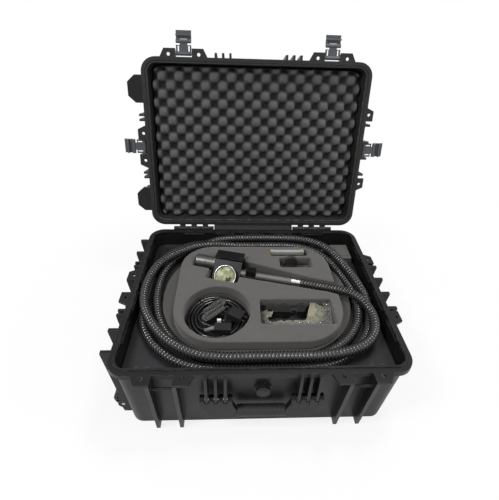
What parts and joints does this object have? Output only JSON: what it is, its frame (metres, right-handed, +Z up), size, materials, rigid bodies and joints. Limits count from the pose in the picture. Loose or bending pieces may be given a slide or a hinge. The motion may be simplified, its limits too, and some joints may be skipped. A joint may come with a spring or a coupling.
{
  "type": "pulse laser machine",
  "caption": "Portable pulse laser machine in a wheeled hard case: hand-held scanning head on a corrugated hose, foam nest, power cable and goggles, with a latching lid.",
  "frame": {"origin": "centre of the case's bottom face, on the floor", "axes": "+Z up, +Y from the latched front to the hinges, +X to the case's right as seen from the front"},
  "size_m": [0.761, 0.6613, 0.7653],
  "materials": {
    "case_plastic": "textured",
    "latch_plastic": "satin",
    "rubber_black": "matte",
    "steel_pins": "satin",
    "wheel_tread": "matte",
    "valve_plastic": "satin",
    "pull_metal": "satin",
    "deck_plastic": "matte",
    "screw_metal": "blackened",
    "foam_dark": "matte",
    "foam_grey": "matte",
    "box_grey": "satin",
    "fitting_metal": "satin",
    "hose_black": "gloss",
    "head_black": "satin",
    "head_grey": "anodised",
    "lens_clear": "coated",
    "switch_black": "gloss",
    "ring_black": "anodised",
    "case_bright": "satin",
    "cable_black": "gloss",
    "tip_white": "satin",
    "goggle_frame": "gloss",
    "goggle_lens": "gloss",
    "pouch_fabric": "woven",
    "source_black": "satin",
    "supply_metal": "satin",
    "board_green": "satin"
  },
  "bodies": {
    "case": {"base_shell": "case_plastic", "hinge_pins": "steel_pins", "handle_pins": "steel_pins", "wheel_axles": "steel_pins", "pull_sleeves": "pull_metal", "deck_posts": "deck_plastic", "deck_panel": "deck_plastic", "deck_screws": "screw_metal", "lower_foam": "foam_dark", "island_foam": "foam_grey", "connector_block": "box_grey", "hose_gland": "fitting_metal", "laser_hose": "hose_black", "hose_ferrule": "fitting_metal", "head_housing": "head_black", "head_cover": "head_black", "side_motor": "head_grey", "lens_barrel": "head_black", "lens_glass": "lens_clear", "grip_tube": "head_grey", "switch_housing": "switch_black", "button_spring": "steel_pins", "power_cable": "cable_black", "power_plug": "cable_black", "cable_connector": "cable_black", "sleeved_lead": "cable_black", "lead_tip": "tip_white", "goggles_pouch": "pouch_fabric", "chassis_plate": "pull_metal", "laser_source": "source_black", "power_supply": "supply_metal", "control_board": "board_green", "fan_frame": "source_black"},
    "lid": {"lid_shell": "case_plastic", "lid_gasket": "rubber_black", "lid_foam": "foam_grey", "lid_bumpers": "case_plastic", "latch_pins": "steel_pins"},
    "carry_handle": {"carry_handle": "case_plastic", "handle_grip": "rubber_black"},
    "valve": {"pressure_valve": "valve_plastic"},
    "front_wheel": {"left_front_wheel": "wheel_tread"},
    "rear_wheel": {"left_rear_wheel": "wheel_tread"},
    "pull_handle": {"pull_tubes": "pull_metal", "pull_grip": "rubber_black"},
    "button": {"trigger_button": "switch_black"},
    "goggles": {"goggles_frame": "goggle_frame", "goggles_lenses": "goggle_lens"},
    "spare_lens": {"spare_lens_ring": "ring_black", "spare_lens_glass": "lens_clear"},
    "small_case": {"lens_case": "case_bright"},
    "fan": {"fan_rotor": "source_black"},
    "front_left_link": {"front_left_link": "latch_plastic"},
    "front_left_lever": {"front_left_lever": "latch_plastic"},
    "front_right_link": {"front_right_link": "latch_plastic"},
    "front_right_lever": {"front_right_lever": "latch_plastic"},
    "left_link": {"left_link": "latch_plastic"},
    "left_lever": {"left_lever": "latch_plastic"},
    "right_link": {"right_link": "latch_plastic"},
    "right_lever": {"right_lever": "latch_plastic"}
  },
  "joints": [
    {"name": "lid_hinge", "type": "hinge", "parent": "case", "child": "lid", "pos_m": [0, 0.2585, 0.201], "axis": [-1, 0, 0], "range_deg": [-97.5, 0]},
    {"name": "front_left_link_swing", "type": "hinge", "parent": "lid", "child": "front_left_link", "pos_m": [-0.2, 0.3398, 0.70823], "axis": [1, 0, 0], "range_deg": [0, 90]},
    {"name": "front_left_lever_swing", "type": "hinge", "parent": "front_left_link", "child": "front_left_lever", "pos_m": [-0.2, 0.34385, 0.73896], "axis": [-1, 0, 0], "range_deg": [0, 100]},
    {"name": "front_right_link_swing", "type": "hinge", "parent": "lid", "child": "front_right_link", "pos_m": [0.2, 0.3398, 0.70823], "axis": [1, 0, 0], "range_deg": [0, 90]},
    {"name": "front_right_lever_swing", "type": "hinge", "parent": "front_right_link", "child": "front_right_lever", "pos_m": [0.2, 0.34385, 0.73896], "axis": [-1, 0, 0], "range_deg": [0, 100]},
    {"name": "left_link_swing", "type": "hinge", "parent": "lid", "child": "left_link", "pos_m": [-0.3225, 0.30652, 0.45541], "axis": [0, 0.1305, 0.9914], "range_deg": [0, 90]},
    {"name": "left_lever_swing", "type": "hinge", "parent": "left_link", "child": "left_lever", "pos_m": [-0.3535, 0.30652, 0.45541], "axis": [0, -0.1305, -0.9914], "range_deg": [0, 100]},
    {"name": "right_link_swing", "type": "hinge", "parent": "lid", "child": "right_link", "pos_m": [0.3225, 0.30652, 0.45541], "axis": [0, -0.1305, -0.9914], "range_deg": [0, 90]},
    {"name": "right_lever_swing", "type": "hinge", "parent": "right_link", "child": "right_lever", "pos_m": [0.3535, 0.30652, 0.45541], "axis": [0, 0.1305, 0.9914], "range_deg": [0, 100]},
    {"name": "carry_handle_lift", "type": "hinge", "parent": "case", "child": "carry_handle", "pos_m": [0, -0.247, 0.125], "axis": [-1, 0, 0], "range_deg": [0, 90]},
    {"name": "valve_turn", "type": "hinge", "parent": "case", "child": "valve", "pos_m": [0.002, -0.237, 0.141], "axis": [0, -1, 0], "range_deg": [0, 180]},
    {"name": "front_wheel_spin", "type": "hinge", "parent": "case", "child": "front_wheel", "pos_m": [-0.311, -0.16325, 0.026], "axis": [0, 1, 0], "continuous": true},
    {"name": "rear_wheel_spin", "type": "hinge", "parent": "case", "child": "rear_wheel", "pos_m": [-0.311, 0.16325, 0.026], "axis": [0, 1, 0], "continuous": true},
    {"name": "pull_handle_slide", "type": "slide", "parent": "case", "child": "pull_handle", "axis": [1, 0, 0], "range_m": [0, 0.29]},
    {"name": "fan_spin", "type": "hinge", "parent": "case", "child": "fan", "pos_m": [0.165, 0.13, 0.091], "axis": [0, 1, 0], "continuous": true},
    {"name": "goggles_lift", "type": "slide", "parent": "case", "child": "goggles", "axis": [0, 0, 1], "range_m": [0, 0.06]},
    {"name": "spare_lens_lift", "type": "slide", "parent": "case", "child": "spare_lens", "axis": [0, 0, 1], "range_m": [0, 0.05]},
    {"name": "small_case_lift", "type": "slide", "parent": "case", "child": "small_case", "axis": [0, 0, 1], "range_m": [0, 0.05]},
    {"name": "trigger_press", "type": "slide", "parent": "case", "child": "button", "axis": [0, 0, -1], "range_m": [0, 0.0025], "stiffness_N_per_m": 400, "springref_m": -0.002, "deforming": ["button_spring"]}
  ]
}
